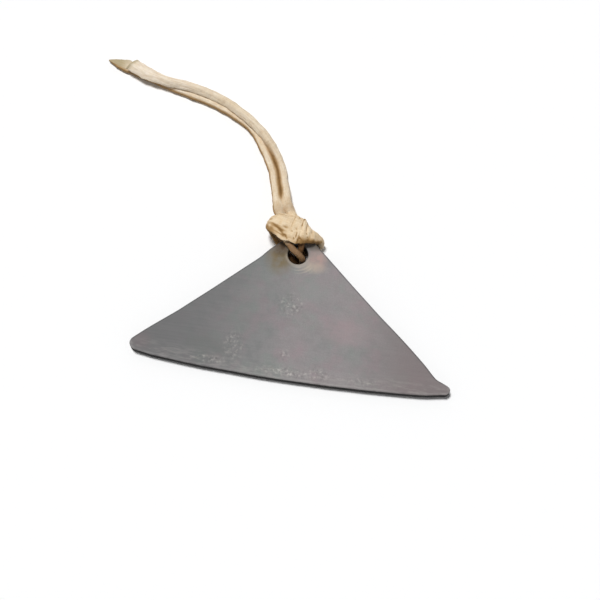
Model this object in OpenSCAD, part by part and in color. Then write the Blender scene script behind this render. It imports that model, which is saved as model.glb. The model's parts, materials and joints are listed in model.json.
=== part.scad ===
// Triangular fire steel lying on a table, with its leather thong.
// One forged steel plate carries one doubled thong, tied through the plate's hole with a cow hitch.
// X runs along the striking edge, Y towards the hole, Z up, with the table at Z = 0.

/* [Steel plate] */
// Thickness of the steel
plate_t = 3.5; // [2.5:0.1:5]
// Radius of the rounded apex, concentric with the hole
apex_r = 5.9; // [5.2:0.1:8]
// Diameter of the thong hole
hole_d = 5.8; // [5.6:0.1:7]
// Slope of the left flank against the striking edge, in degrees
left_slope = 42.7; // [36:0.1:50]
// Slope of the right flank against the striking edge, in degrees
right_slope = 41; // [36:0.1:50]
// Distance from the hole's centre to the lowest point of the striking edge
edge_depth = 36.6; // [28:0.1:50]
// Radius of the convex striking edge
edge_r = 480; // [250:10:900]
// Sideways offset of the striking edge's lowest point from the hole
edge_shift = 2.5; // [-6:0.5:6]
// Radius of the left corner
corner_r = 2.2; // [1.6:0.1:5]
// Radius of the toe at the right corner
toe_r = 1.6; // [1.4:0.1:3]
// How far the toe stands out past the line of the right flank
toe_reach = 1.1; // [0.4:0.1:1.3]
// Radius of the hollow between the right flank and the toe
hollow_r = 6; // [2:0.1:8]
// Width of the broken edge round both faces
edge_break = 0.4; // [0.2:0.05:0.7]
// Width of the broken rim on both sides of the hole
rim_break = 0.3; // [0.1:0.05:0.6]

/* [Leather thong] */
// Diameter of the strand
strand_d = 2.2; // [1.6:0.05:2.3]
// Clearance between a strand and the steel
steel_gap = 0.3; // [0.2:0.05:0.5]
// Clearance between two strands that lie side by side
strand_gap = 0.5; // [0.4:0.05:0.8]
// Width of the flattened band across the legs, in strand diameters
band_width = 3.5; // [2.5:0.1:4.2]
// Turn of the hitch to the left of the plate's own axis, in degrees
hitch_turn = 25; // [18:1:30]
// Length of the pointed cut at the end of the left leg
tip_length = 5; // [3:0.5:8]

/* [Hidden] */
$fn = 96;
// Sides of the large circle that cuts the striking edge
edge_sides = 720;
// Cutting shapes stand out of the steel by this much
overcut = 0.5;
// Round stretches reach this little past their tangent points, to cross their neighbours cleanly
tuck = 0.002;
// Edge breaks run this far on into a neighbour that curves away from them
lap = 0.2;

function unit(v) = v / norm(v);
function bearing(v) = atan2(v.y, v.x);

// Plate outline, with the hole's centre at the origin

left_out = [-sin(left_slope), cos(left_slope)];
left_down = [-cos(left_slope), -sin(left_slope)];
right_out = [sin(right_slope), cos(right_slope)];
right_down = [cos(right_slope), -sin(right_slope)];
edge_centre = [edge_shift, edge_r - edge_depth];

// Centre of a corner's circle: tangent to the striking edge, at a given distance out along a flank's normal
function corner_centre(out, down, along_out, r) =
    let (across = along_out - out * edge_centre)
    out * along_out + down * (down * edge_centre + sqrt(pow(edge_r - r, 2) - pow(across, 2)));

corner_at = corner_centre(left_out, left_down, apex_r - corner_r, corner_r);
toe_at = corner_centre(right_out, right_down, apex_r - toe_r + toe_reach, toe_r);

// The hollow's circle lies outside the steel, tangent to the right flank and to the toe
hollow_rise = toe_r + hollow_r - toe_reach;
hollow_run = sqrt(pow(toe_r + hollow_r, 2) - pow(hollow_rise, 2));
hollow_at = toe_at + right_out * hollow_rise - right_down * hollow_run;

corner_foot = unit(corner_at - edge_centre);
toe_foot = unit(toe_at - edge_centre);
toe_joint = unit(hollow_at - toe_at);

right_flank = [right_out * apex_r, hollow_at - right_out * hollow_r];
left_flank = [corner_at + left_out * corner_r, left_out * apex_r];

outline_corners = [
    right_flank[0], [0, 0], left_flank[1], left_flank[0], corner_at,
    edge_centre + corner_foot * (edge_r + edge_depth),
    edge_centre + toe_foot * (edge_r + edge_depth),
    toe_at, toe_at + toe_joint * toe_r, hollow_at, right_flank[1]
];

// Angle that a lap takes on an arc
function lap_angle(r) = lap / r * 180 / PI;

// Round stretches of the outline: centre, radius, start and end bearing,
// and 1 where the outline is convex or -1 where it is hollow
outline_arcs = [
    [[0, 0], apex_r + tuck, bearing(right_out), bearing(left_out), 1],
    [corner_at, corner_r + tuck, bearing(left_out), bearing(corner_foot) + 360, 1],
    [edge_centre, edge_r,
        bearing(corner_foot) - lap_angle(edge_r), bearing(toe_foot) + lap_angle(edge_r), 1],
    [toe_at, toe_r + tuck, bearing(toe_foot), bearing(toe_joint), 1],
    [hollow_at, hollow_r + tuck,
        bearing(-right_out) - lap_angle(hollow_r), bearing(-toe_joint) + lap_angle(hollow_r), -1]
];

// Thong levels over the plate's back face, measured to the middle of the strand

strand_r = strand_d / 2;
lane = (strand_d + strand_gap) / 2;
under = -steel_gap - strand_r;
mid = plate_t / 2;
top = plate_t + steel_gap + strand_r;
band_r = strand_r / sqrt(band_width);
over = top + strand_r + strand_gap + band_r;

// Route of the hitch as [across, ahead, level, width], with ahead along the legs, the hole's axis at zero
// and the width in strand diameters. It goes in at the left leg, down through the hole, where it is squeezed,
// up round the left of the apex, across both legs as a broad band, down round the right of the apex,
// up through the hole and out at the right leg.
hitch_route = [
    [-lane, 12.4, top - 1.7, 1], [-1.6, 9.6, top - 0.3, 1], [-1.9, 6.8, top, 1], [-1.9, 4.6, top, 1],
    [-1.5, 2.9, top, 0.95], [-1, 1.3, top + 0.2, 0.9], [-0.1, -0.2, top, 0.85], [0.6, -1.1, mid + 2, 0.85],
    [0.9, -1.4, mid + 0.6, 0.85], [0.9, -1.4, mid - 0.7, 0.85], [0.8, -1.4, under + 1.3, 0.9],
    [0.5, -1.1, under + 0.4, 0.95], [-0.4, -0.5, under, 1], [-1.4, 0.3, under, 1], [-2.2, 1.5, under, 1],
    [-2.8, 3, under, 1], [-3.3, 4.6, under, 1], [-3.7, 6.8, under, 1.1], [-4.2, 9, under + 0.5, 1.3],
    [-4.6, 10.6, 1.5, 0.45 * band_width], [-4.7, 11.2, 3.8, 0.6 * band_width],
    [-4.1, 10.7, over - 1.2, 0.75 * band_width], [-2.8, 9.4, over - 0.2, 0.9 * band_width],
    [-0.9, 7.8, over, band_width], [1.1, 6.3, over, band_width], [2.9, 5.1, over - 0.1, 0.95 * band_width],
    [4.6, 4.1, over - 1, 0.7 * band_width], [6, 3.5, 4.9, 0.55 * band_width], [6.9, 2.9, 3.1, 1.3],
    [7.3, 2.5, 1.2, 1.1], [7.3, 2.3, 0, 1], [6.8, 2, under + 0.4, 1], [5.8, 1.7, under, 1],
    [4.7, 1.6, under, 1], [3.7, 1.5, under, 1], [2.7, 1.5, under, 1], [1.7, 1.3, under + 0.4, 0.9],
    [1.3, 1.2, under + 1.4, 0.85], [1.1, 1.1, mid - 0.5, 0.85], [1.1, 1.1, mid + 0.8, 0.85],
    [1.2, 1.3, mid + 2, 0.85], [1.6, 2.1, top - 0.2, 0.9], [1.8, 3.1, top, 1], [1.9, 4.6, top, 1],
    [1.9, 6.8, top, 1], [1.6, 9.6, top - 0.3, 1], [lane, 12.4, top - 1.7, 1]
];

// Route of the pair of legs on the table as [x, y, lay, lift], from the hitch to the tips,
// measured from the hole. Lay is 0 where the legs lie side by side and 90 where the right one
// lies on the left one.
legs_route = [
    [-6.8, 14.6, 0, 3.8], [-7.9, 19, 0, 1.5], [-8.9, 22.5, 0, 0.3], [-10.1, 26.5, 0, 0],
    [-12.3, 30.6, 10, 0], [-15.4, 34.9, 45, 0], [-18.8, 38.6, 72, 0], [-23.2, 41.7, 72, 0],
    [-29.1, 44.8, 60, 0], [-35.5, 46.9, 57, 0], [-41.7, 48.2, 66, 0], [-47.9, 49.3, 90, 0],
    [-54, 51.2, 94, 0], [-58.4, 53, 88, 0], [-61.8, 54, 90, 0], [-65.6, 55.2, 90, 0]
];
// The right leg is the shorter one and ends at this many points
right_leg_points = 14;
strand_sides = 8;
// Share of the strand's width that is left at the point
tip_share = 0.25;

function turned(p, a) = [p.x * cos(a) - p.y * sin(a), p.x * sin(a) + p.y * cos(a), p.z];
hitch_on_plate = [for (p = hitch_route) turned(p, hitch_turn)];

// The plate leans on the strands under its apex, with its striking edge on the table
rest_depth = edge_depth - edge_break;
lean = max([for (p = hitch_on_plate) atan((strand_r - p.z) / (rest_depth + p.y))]);
plate_reach = [
    [corner_at.x - corner_r, -edge_depth * cos(lean) - (plate_t - edge_break) * sin(lean)],
    [toe_at.x + toe_r, apex_r * cos(lean) - edge_break * sin(lean)]
];
hole_at = [
    -(plate_reach[0].x + plate_reach[1].x) / 2,
    -(plate_reach[0].y + plate_reach[1].y) / 2,
    rest_depth * sin(lean)
];

function on_plate(p) =
    hole_at + [p.x, p.y * cos(lean) - p.z * sin(lean), p.y * sin(lean) + p.z * cos(lean)];

// A leg's points on the table, with side -1 for the left leg and 1 for the right one
function leg_point(i, side) =
    let (p = legs_route[i], last = len(legs_route) - 1)
    let (ahead = legs_route[min(i + 1, last)], behind = i > 0 ? legs_route[i - 1] : [0, 0, 0, 0])
    let (way = unit([ahead.x - behind.x, ahead.y - behind.y]))
    let (rise = side > 0 ? 2 * lane * sin(p[2]) : 0)
    [hole_at.x, hole_at.y, strand_r + p[3] + rise]
        + [p.x + side * lane * cos(p[2]) * way.y, p.y - side * lane * cos(p[2]) * way.x, 0];

left_leg = [for (i = [len(legs_route) - 1:-1:0]) leg_point(i, -1)];
right_leg = [for (i = [0:right_leg_points - 1]) leg_point(i, 1)];
hitch_points = [for (p = hitch_on_plate) on_plate(p)];
hitch_first = len(left_leg);
hitch_last = hitch_first + len(hitch_points) - 1;

// The thong's sections, from the left tip to the right one
thong_points = concat(left_leg, hitch_points, right_leg);
thong_widths = concat([for (p = left_leg) 1], [for (p = hitch_route) p[3]], [for (p = right_leg) 1]);
thong_last = len(thong_points) - 1;
thong_ways = [for (i = [0:thong_last])
    unit(thong_points[min(i + 1, thong_last)] - thong_points[max(i - 1, 0)])];

// The middle of the band faces up. Every other section faces as its neighbour does, squared to the strand.
band_at = (hitch_first + hitch_last) / 2;
function squared(n, way) = unit(n - way * (n * way));
function facing(i) =
    squared(i == band_at ? [0, 0, 1] : facing(i < band_at ? i + 1 : i - 1), thong_ways[i]);

// The left leg is cut to a point, and the right one is cut off square
function tip_scale(i) =
    let (from_tip = norm(thong_points[i] - thong_points[0]))
    min(1, tip_share + (1 - tip_share) * from_tip / tip_length);

// An oval section that keeps the round strand's area where it is spread, and shrinks where it is squeezed
function ring(i) =
    let (up = facing(i), across = cross(thong_ways[i], up), w = thong_widths[i])
    let (half_width = strand_r * w * tip_scale(i), half_thick = strand_r * min(w, 1 / sqrt(w)) * tip_scale(i))
    [for (k = [0:strand_sides - 1])
        let (a = k * 360 / strand_sides)
        thong_points[i] + half_thick * cos(a) * up + half_width * sin(a) * across];

rings = [for (i = [0:thong_last]) ring(i)];

// A closed tube over a run of the thong's rings
module strand(first, last) {
    m = strand_sides;
    rows = last - first;
    points = [for (i = [first:last]) each rings[i]];
    walls = [for (i = [0:rows - 1], k = [0:m - 1])
        let (a = i * m + k, b = i * m + (k + 1) % m)
        each [[a, b + m, b], [a, a + m, b + m]]];
    start_cap = [for (k = [1:m - 2]) [0, k, k + 1]];
    end_cap = [for (k = [1:m - 2]) [rows * m, rows * m + k + 1, rows * m + k]];
    polyhedron(points, concat(walls, start_cap, end_cap));
}

// Least gap of the hitch to itself, on the corners and side middles of sections that are gap_skip apart
gap_skip = 5;
gap_points = [for (i = [hitch_first:hitch_last])
    [for (k = [0:strand_sides - 1])
        each [rings[i][k], (rings[i][k] + rings[i][(k + 1) % strand_sides]) / 2]]];
hitch_gap = min([for (i = [0:len(gap_points) - gap_skip - 1], j = [i + gap_skip:len(gap_points) - 1])
    min([for (p = gap_points[i], q = gap_points[j]) norm(p - q)])]);
echo(str("Least gap of the hitch to itself: ", hitch_gap, " mm"));

module plate_outline() {
    difference() {
        union() {
            intersection() {
                polygon(outline_corners);
                translate(edge_centre) circle(edge_r, $fn = edge_sides);
            }
            circle(apex_r + tuck);
            translate(corner_at) circle(corner_r + tuck);
            translate(toe_at) circle(toe_r + tuck);
        }
        translate(hollow_at) circle(hollow_r + tuck);
    }
}

// Profile that takes the corner off an edge: x out of the steel from its wall, y up from its face
function break_profile(wall, side) = [
    [wall - side * (edge_break + overcut), overcut],
    [wall + side * overcut, overcut],
    [wall + side * overcut, -edge_break - overcut]
];

module broken_arc(arc) {
    translate(arc[0])
        rotate(arc[2])
            rotate_extrude(angle = arc[3] - arc[2])
                polygon(break_profile(arc[1], arc[4]));
}

// A flank's break, run on by a lap at either end
module broken_flank(flank, out, first_lap, last_lap) {
    way = unit(flank[1] - flank[0]);
    translate(flank[0] - way * first_lap)
        rotate([90, 0, bearing(out)])
            linear_extrude(norm(flank[1] - flank[0]) + first_lap + last_lap)
                polygon(break_profile(0, 1));
}

// Cuts for the upper face, with that face at Z = 0
module face_breaks() {
    for (arc = outline_arcs) broken_arc(arc);
    broken_flank(right_flank, right_out, lap, 0);
    broken_flank(left_flank, left_out, lap, lap);
    translate([0, 0, -rim_break])
        cylinder(h = rim_break + overcut, r1 = hole_d / 2, r2 = hole_d / 2 + rim_break + overcut);
}

module steel_plate() {
    color([0.54, 0.53, 0.53])
        translate(hole_at)
            rotate([lean, 0, 0])
                difference() {
                    linear_extrude(plate_t) plate_outline();
                    translate([0, 0, -overcut]) cylinder(h = plate_t + 2 * overcut, d = hole_d);
                    translate([0, 0, plate_t]) face_breaks();
                    mirror([0, 0, 1]) face_breaks();
                }
}

module thong_hitch() {
    color([0.87, 0.79, 0.66]) strand(hitch_first, hitch_last);
}

module thong_leg_left() {
    color([0.89, 0.84, 0.75]) strand(0, hitch_first);
}

module thong_leg_right() {
    color([0.89, 0.84, 0.75]) strand(hitch_last, thong_last);
}

steel_plate();
thong_hitch();
thong_leg_left();
thong_leg_right();
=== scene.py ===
# %% [markdown]
# A fire steel is a flat piece of hardened steel that throws sparks when its long edge is struck. This one
# is a triangle with a hole in its apex, and a soft leather thong is hitched through the hole. The packed
# model comes in first as a fixed frame: its steel and its thong say where every new piece goes. The scene
# is in metres, and the object lies on the table at Z = 0.

import json
import math

import bmesh
import bpy
from mathutils import Matrix, Vector, noise

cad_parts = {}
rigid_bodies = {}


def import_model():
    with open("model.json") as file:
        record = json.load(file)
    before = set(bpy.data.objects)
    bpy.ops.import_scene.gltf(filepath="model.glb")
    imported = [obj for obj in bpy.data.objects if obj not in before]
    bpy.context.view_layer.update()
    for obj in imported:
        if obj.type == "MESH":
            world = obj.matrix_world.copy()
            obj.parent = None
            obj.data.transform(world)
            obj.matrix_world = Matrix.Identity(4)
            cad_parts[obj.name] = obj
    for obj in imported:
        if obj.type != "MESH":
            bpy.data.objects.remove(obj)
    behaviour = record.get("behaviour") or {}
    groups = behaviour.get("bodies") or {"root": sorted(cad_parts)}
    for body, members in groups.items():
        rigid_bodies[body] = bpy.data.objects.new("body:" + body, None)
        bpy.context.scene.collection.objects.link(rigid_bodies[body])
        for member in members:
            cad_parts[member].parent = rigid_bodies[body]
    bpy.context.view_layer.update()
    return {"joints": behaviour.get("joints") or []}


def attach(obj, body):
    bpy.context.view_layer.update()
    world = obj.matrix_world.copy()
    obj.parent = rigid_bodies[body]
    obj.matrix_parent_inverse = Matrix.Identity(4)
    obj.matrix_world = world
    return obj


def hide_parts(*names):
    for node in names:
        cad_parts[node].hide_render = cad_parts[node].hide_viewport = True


for leftover in list(bpy.data.objects):
    bpy.data.objects.remove(leftover)
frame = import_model()

# %% [markdown]
# The steel doesn't lie flat: its apex rests on the strands under it, so it leans by four degrees. Its
# sizes are easiest to read on the plate itself, in millimetres from the hole's centre on the back face.
# One matrix then carries everything from the plate's own axes into the frame. The swivel's place in the
# record is the middle of the hole, so the matrix starts there.

# %% Plate axes
MM = 0.001
PLATE_THICK = 3.5
LEAN = math.radians(4.0195)

lean_turn = Matrix.Rotation(LEAN, 4, "X")
hole_middle = Vector(frame["joints"][0]["pos_m"])
hole_at = hole_middle - lean_turn @ Vector((0, 0, PLATE_THICK / 2 * MM))
plate_axes = Matrix.Translation(hole_at) @ lean_turn @ Matrix.Scale(MM, 4)
print("hole at", tuple(round(c * 1000, 2) for c in hole_at), "mm")

# %% [markdown]
# The photograph looks down on the steel from 75 degrees, turned a little to its left, through a long
# lens. A camera needs three directions: right, up and back. They are chosen on the plate and leaned with
# it. A long lens far away keeps the two flanks as straight and as even as they are in the picture.

# %% Camera
VIEW_TURN = math.radians(8.7)
VIEW_HEIGHT = math.radians(75)
VIEW_TARGET = Vector((2.6, -13.2, PLATE_THICK))
VIEW_DISTANCE = 423.45
LENS = 90
SENSOR = 36
NEAREST = 0.01

right = Vector((math.cos(VIEW_TURN), math.sin(VIEW_TURN), 0))
away = Vector((-math.sin(VIEW_TURN), math.cos(VIEW_TURN), 0))
back = Vector((0, 0, math.sin(VIEW_HEIGHT))) - away * math.cos(VIEW_HEIGHT)
view_turn = Matrix((right, back.cross(right), back)).transposed().to_4x4()

camera = bpy.data.objects.new("camera", bpy.data.cameras.new("camera"))
bpy.context.scene.collection.objects.link(camera)
camera.data.lens = LENS
camera.data.sensor_width = SENSOR
camera.data.clip_start = NEAREST
eye = plate_axes @ (VIEW_TARGET + back * VIEW_DISTANCE)
camera.matrix_world = Matrix.Translation(eye) @ lean_turn @ view_turn
bpy.context.scene.camera = camera
print("camera at", tuple(round(c, 3) for c in camera.location))

# %% [markdown]
# The thong is one lace, doubled and tied through the hole with a cow hitch: down through the hole, up
# round one side of the apex, across both legs, down round the other side and up through the hole again.
# Where it crosses the legs it is spread into a broad band, and in the hole it is squeezed. The route is
# the same as in the solid model. Each row says how far across, ahead and up on the plate a place is, and
# then how wide the lace is there, in strand diameters.

# %% Route of the hitch
STRAND_R = 1.1
STEEL_GAP = 0.3
STRAND_GAP = 0.5
BAND = 3.5
HITCH_TURN = math.radians(25)

lane = STRAND_R + STRAND_GAP / 2
under = -STEEL_GAP - STRAND_R
mid = PLATE_THICK / 2
top = PLATE_THICK + STEEL_GAP + STRAND_R
over = top + STRAND_R + STRAND_GAP + STRAND_R / math.sqrt(BAND)

hitch_route = [
    (-lane, 12.4, top - 1.7, 1), (-1.6, 9.6, top - 0.3, 1), (-1.9, 6.8, top, 1), (-1.9, 4.6, top, 1),
    (-1.5, 2.9, top, 0.95), (-1, 1.3, top + 0.2, 0.9), (-0.1, -0.2, top, 0.85), (0.6, -1.1, mid + 2, 0.85),
    (0.9, -1.4, mid + 0.6, 0.85), (0.9, -1.4, mid - 0.7, 0.85), (0.8, -1.4, under + 1.3, 0.9),
    (0.5, -1.1, under + 0.4, 0.95), (-0.4, -0.5, under, 1), (-1.4, 0.3, under, 1), (-2.2, 1.5, under, 1),
    (-2.8, 3, under, 1), (-3.3, 4.6, under, 1), (-3.7, 6.8, under, 1.1), (-4.2, 9, under + 0.5, 1.3),
    (-4.6, 10.6, 1.5, 0.45 * BAND), (-4.7, 11.2, 3.8, 0.6 * BAND),
    (-4.1, 10.7, over - 1.2, 0.75 * BAND), (-2.8, 9.4, over - 0.2, 0.9 * BAND),
    (-0.9, 7.8, over, BAND), (1.1, 6.3, over, BAND), (2.9, 5.1, over - 0.1, 0.95 * BAND),
    (4.6, 4.1, over - 1, 0.7 * BAND), (6, 3.5, 4.9, 0.55 * BAND), (6.9, 2.9, 3.1, 1.3),
    (7.3, 2.5, 1.2, 1.1), (7.3, 2.3, 0, 1), (6.8, 2, under + 0.4, 1), (5.8, 1.7, under, 1),
    (4.7, 1.6, under, 1), (3.7, 1.5, under, 1), (2.7, 1.5, under, 1), (1.7, 1.3, under + 0.4, 0.9),
    (1.3, 1.2, under + 1.4, 0.85), (1.1, 1.1, mid - 0.5, 0.85), (1.1, 1.1, mid + 0.8, 0.85),
    (1.2, 1.3, mid + 2, 0.85), (1.6, 2.1, top - 0.2, 0.9), (1.8, 3.1, top, 1), (1.9, 4.6, top, 1),
    (1.9, 6.8, top, 1), (1.6, 9.6, top - 0.3, 1), (lane, 12.4, top - 1.7, 1),
]

hitch_axes = plate_axes @ Matrix.Rotation(HITCH_TURN, 4, "Z")
hitch_points = [(hitch_axes @ Vector(p[:3])).to_4d() for p in hitch_route]
for point, place in zip(hitch_points, hitch_route):
    point.w = place[3]
print("hitch of", len(hitch_points), "points")

# %% [markdown]
# The two legs leave the hitch, come down to the table and run off to the left together.
# They are one pair with one route: across and ahead from the hole, then the lay in degrees and the lift.
# The lay says how the pair lies: 0 side by side, 90 with the right leg on the left one.
# The right leg is the shorter one, as in the picture.

# %% Routes of the legs
RIGHT_LEG_POINTS = 14

legs_route = [
    (-6.8, 14.6, 0, 3.8), (-7.9, 19, 0, 1.5), (-8.9, 22.5, 0, 0.3), (-10.1, 26.5, 0, 0),
    (-12.3, 30.6, 10, 0), (-15.4, 34.9, 45, 0), (-18.8, 38.6, 72, 0), (-23.2, 41.7, 72, 0),
    (-29.1, 44.8, 60, 0), (-35.5, 46.9, 57, 0), (-41.7, 48.2, 66, 0), (-47.9, 49.3, 90, 0),
    (-54, 51.2, 94, 0), (-58.4, 53, 88, 0), (-61.8, 54, 90, 0), (-65.6, 55.2, 90, 0),
]


def leg_point(i, side):
    """A leg's point on the table, with side -1 for the left leg and 1 for the right one."""
    x, y, lay, lift = legs_route[i]
    ahead = legs_route[min(i + 1, len(legs_route) - 1)]
    behind = legs_route[i - 1] if i > 0 else (0, 0)
    way = Vector((ahead[0] - behind[0], ahead[1] - behind[1])).normalized()
    offset = side * lane * math.cos(math.radians(lay))
    rise = 2 * lane * math.sin(math.radians(lay)) if side > 0 else 0
    place = Vector((x + offset * way.y, y - offset * way.x, STRAND_R + lift + rise)) * MM
    return (place + Vector((hole_at.x, hole_at.y, 0))).to_4d()


left_points = [leg_point(i, -1) for i in reversed(range(len(legs_route)))]
right_points = [leg_point(i, 1) for i in range(RIGHT_LEG_POINTS)]
print("legs of", len(left_points), "and", len(right_points), "points")

# %% [markdown]
# A lace bends in smooth curves, so a smooth line is drawn through all the points from one tip to the
# other. The line is cut where the legs meet the hitch, and each stretch is divided into near equal steps.
# Equal steps keep the grain of the leather even along the whole thong.

# %% Smooth line
STEP = 0.35 * MM
PER_POINT = 16

thong_points = left_points + hitch_points + right_points
hitch_first = len(left_points)
hitch_last = hitch_first + len(hitch_points) - 1


def smooth_at(u):
    """The smooth line's place and width, where u counts the thong's points."""
    last = len(thong_points) - 1
    i = min(int(u), last - 1)
    f = u - i
    b, c = thong_points[i], thong_points[i + 1]
    a = thong_points[i - 1] if i > 0 else 2 * b - c
    d = thong_points[i + 2] if i + 2 <= last else 2 * c - b
    return (2 * b + (c - a) * f + (2 * a - 5 * b + 4 * c - d) * f**2 + (3 * b - a - 3 * c + d) * f**3) / 2


def even_steps(first, last, step):
    """Places a near equal step apart, from one of the thong's points to another, and their length."""
    fine = [smooth_at(first + k / PER_POINT) for k in range((last - first) * PER_POINT + 1)]
    run = [0.0]
    for a, b in zip(fine, fine[1:]):
        run.append(run[-1] + (b.xyz - a.xyz).length)
    count = round(run[-1] / step)
    places, i = [], 0
    for k in range(count + 1):
        want = run[-1] * k / count
        while i < len(fine) - 2 and run[i + 1] < want:
            i += 1
        places.append(fine[i].lerp(fine[i + 1], (want - run[i]) / (run[i + 1] - run[i])))
    return places, run[-1]


left_run, left_length = even_steps(0, hitch_first, STEP)
hitch_run, hitch_length = even_steps(hitch_first, hitch_last, STEP)
right_run, right_length = even_steps(hitch_last, len(thong_points) - 1, STEP)
line = left_run + hitch_run[1:] + right_run[1:]
hitch_start = len(left_run) - 1
hitch_end = hitch_start + len(hitch_run) - 1
print(f"left leg {left_length:.4f} m, hitch {hitch_length:.4f} m, right leg {right_length:.4f} m")

# %% [markdown]
# Each step of the line needs to know which way the broad side of the lace faces.
# The middle of the band faces up. From there the direction is handed on from step to step,
# only squared to the lace, so that the lace never twists by itself.
# On the legs it eases back to facing up, as a lace does that lies on a table.

# %% Facing of the lace
EASE = 0.04

ways = []
for i in range(len(line)):
    ways.append((line[min(i + 1, len(line) - 1)].xyz - line[max(i - 1, 0)].xyz).normalized())


def squared(direction, way):
    """The direction made square to the lace."""
    return (direction - way * direction.dot(way)).normalized()


up = Vector((0, 0, 1))
band_at = max(range(hitch_start, hitch_end), key=lambda i: line[i].w)
facings = {band_at: squared(up, ways[band_at])}
for i in range(band_at + 1, len(line)):
    eased = facings[i - 1].lerp(up, EASE if i > hitch_end else 0)
    facings[i] = squared(eased, ways[i])
for i in reversed(range(band_at)):
    eased = facings[i + 1].lerp(up, EASE if i < hitch_start else 0)
    facings[i] = squared(eased, ways[i])
print("band at step", band_at, "of", len(line))

# %% [markdown]
# The lace isn't the same all along: it lies on the table, is squeezed in the hole and is spread over the
# legs. A few measures say where a step of the line is, and a smooth ramp turns each into a share from 0
# to 1. A window is a ramp up and down again, given by four marks: where it starts, is full, fades and
# ends. Marks past the hitch count steps of the line, and all other marks are millimetres.

# %% Where the lace changes
LEG_RAMP = (-10, 20)
HOLE_RAMP = (5.5, 3)
STRAND_WIDTH = 1.2

to_hitch = hitch_axes.inverted()


def ramp(value, start, end):
    """0 before the start and 1 past the end, with a smooth rise between."""
    f = min(1.0, max(0.0, (value - start) / (end - start)))
    return f * f * (3 - 2 * f)


def window(value, start, full, fading, end):
    """0 outside a stretch and 1 within it, with a smooth rise and a smooth fall."""
    return ramp(value, start, full) * ramp(value, end, fading)


def from_left_tip(i):
    """Millimetres along the lace from the tip of the left leg."""
    return i * STEP / MM


def from_right_tip(i):
    """Millimetres along the lace from the tip of the right leg."""
    return (len(line) - 1 - i) * STEP / MM


def past_hitch(i):
    """Steps from the nearer end of the hitch, which are negative in the hitch."""
    return max(hitch_start - i, i - hitch_end)


def past_band(i):
    """Millimetres from the middle of the band, which are negative on its left part."""
    return (i - band_at) * STEP / MM


def leg_share(i):
    """1 on the two legs and 0 in the hitch."""
    return ramp(past_hitch(i), *LEG_RAMP)


def band_share(i):
    """1 where the lace is spread into the band and 0 where it is a strand."""
    return ramp(line[i].w, STRAND_WIDTH, BAND)


def hole_share(i):
    """1 where the lace is squeezed in the hole."""
    return ramp((to_hitch @ line[i].xyz).xy.length, *HOLE_RAMP)


band_steps = sum(band_share(i) > 0.5 for i in range(len(line)))
print(f"the lace is spread over {band_steps * STEP / MM:.1f} mm")

# %% [markdown]
# Where the lace is spread into the band, it gathers: on the left into folds along its length, on the
# right into wrinkles across it. Slow noise makes them all, which is quicker than modelling each one. A
# fold's back is where the noise is far from zero, and a narrow crease lies where it changes its sign.
# Each crease is darkened with painted shade and a brown tint. On the band, x runs from -1 at its upper
# edge to 1 at its lower edge. On a leg, -1 is its inner side.

# %% Folds of the band
FOLD = 0.9
FOLD_STEEP = 2.5
FOLDS_ACROSS = 2.9
FOLDS_ALONG = 0.1
WRINKLES_ACROSS = 0.25
WRINKLES_ALONG = 0.7
RIGHT_RAMP = (-4, 4)
CREASE_WIDTH = 0.17
# Strength of the painted shade in the creases.
CREASE_SHADE = 0.75


def creased(across, along, seed):
    """Rounded folds: how high the skin stands at a place, and how near a crease is."""
    level = abs(noise.noise(Vector((across, along, seed))))
    return min(1.0, FOLD_STEEP * level), ramp(level, CREASE_WIDTH, 0.0)


def gathers(i, x, half_width):
    """How high the band stands in its folds at a place, and how much painted shade its crease gets there.
    """
    along = from_left_tip(i)
    right_part = ramp(past_band(i), *RIGHT_RAMP)
    fold, fold_crease = creased(x * FOLDS_ACROSS, along * FOLDS_ALONG, seed=9)
    wrinkle, wrinkle_crease = creased(x * half_width * WRINKLES_ACROSS, along * WRINKLES_ALONG, seed=5)
    height = fold + (wrinkle - fold) * right_part - 0.5
    crease = fold_crease + (wrinkle_crease - fold_crease) * right_part
    return band_share(i) * FOLD * height, CREASE_SHADE * band_share(i) * crease


print("top of the band:", [round(c, 2) for c in gathers(band_at, 0, STRAND_R * BAND)])

# %% [markdown]
# Shade is painted into the lace in more places than its creases. The lower edge of the band is frayed and
# brown on the right, and that brown is partly painted shade under the band. On the left the lower edge is
# darkened with painted shade, and so is the lower edge of the left leg. Between the legs runs a groove of
# painted shade, which fades further out. Below the plate no light gets into the hole, so the lace there is
# painted dark. All of this goes into one number for each point, so that a single finish can darken the
# whole lace.

# %% Dark places of the lace
RAGGED = 0.35
RAGS_ALONG = 0.9
# Frayed brown with painted shade under the band's right part.
FRAY_AND_SHADE = 0.72
FRAY_SIDE = (0.2, 0.85)
FRAY_WINDOW = (-1, 5, 9, 12)
SHADE = 0.6
SHADE_SIDE = (0.45, 0.95)
SHADE_WIDER = 0.3
SHADE_RAMP = (-1, -5)
# Painted shade in the groove between the legs.
GROOVE_SHADE = 0.66
GROOVE_SIDE = (0.05, -0.85)
GROOVE_WINDOW = (8, 24, 55, 98)
# Painted shade below the hole, where no light gets in.
BELOW_RAMP = (0.6, -0.6)


def lower_edge(i, x):
    """Painted shade on the lower edges of the band and the left leg, and a frayed brown on the band's
    right.
    """
    past = past_band(i)
    ragged = x + RAGGED * noise.noise(Vector((from_left_tip(i) * RAGS_ALONG, x, 3)))
    frayed_and_shaded = FRAY_AND_SHADE * ramp(ragged, *FRAY_SIDE) * window(past, *FRAY_WINDOW)
    edge = x + (ragged - x + SHADE_WIDER) * band_share(i)
    # Painted shade on the lower edge of the band's left part and of the left leg.
    shaded = SHADE * ramp(edge, *SHADE_SIDE) * ramp(past, *SHADE_RAMP)
    return max(frayed_and_shaded, shaded)


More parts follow.
